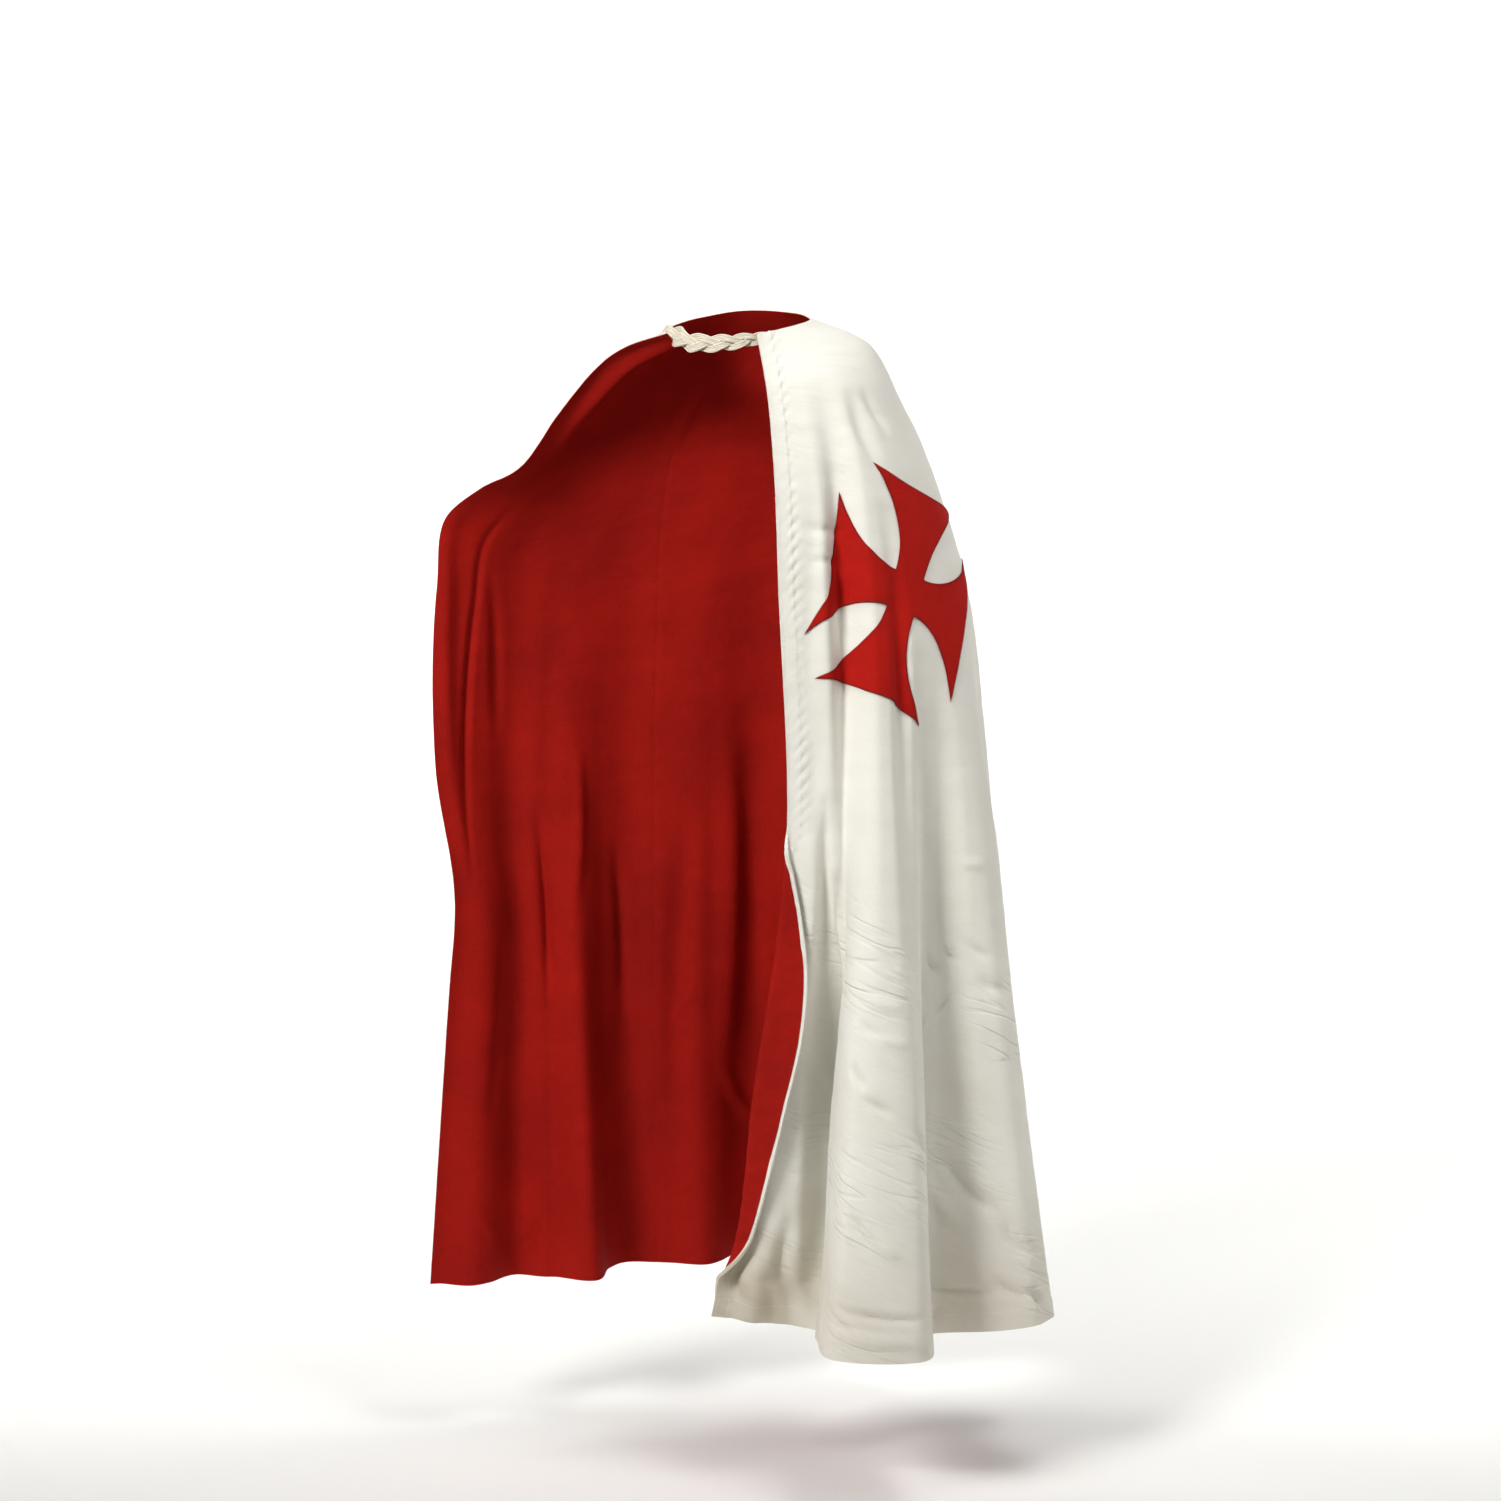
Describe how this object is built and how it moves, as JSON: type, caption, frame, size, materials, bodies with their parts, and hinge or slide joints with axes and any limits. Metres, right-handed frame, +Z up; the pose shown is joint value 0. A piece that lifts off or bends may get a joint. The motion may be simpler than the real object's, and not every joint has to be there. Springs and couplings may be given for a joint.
{
  "type": "templar cloak",
  "caption": "Long white cloak with a red lining and a red flared cross sewn on its left side, tied at the neck with a plaited cord and shaped as it hangs when worn.",
  "frame": {"origin": "middle of the neck opening, level with the front corners of the neck edge", "axes": "+Z up, +X to the garment's own left, front faces -Y"},
  "size_m": [0.8972, 0.601, 1.4348],
  "materials": {
    "shell_cloth": "matt off-white woven cloth",
    "lining_cloth": "matt red woven cloth",
    "cross_cloth": "matt red felted cloth",
    "cord": "matt cream cotton cord"
  },
  "bodies": {
    "root": {"shell_front_right": "shell_cloth", "shell_back": "shell_cloth", "shell_front_left": "shell_cloth", "lining_front_right": "lining_cloth", "lining_back": "lining_cloth", "lining_front_left": "lining_cloth", "cross_applique": "cross_cloth", "neck_cord_strand_1": "cord", "neck_cord_strand_2": "cord", "neck_cord_strand_3": "cord"}
  },
  "joints": []
}
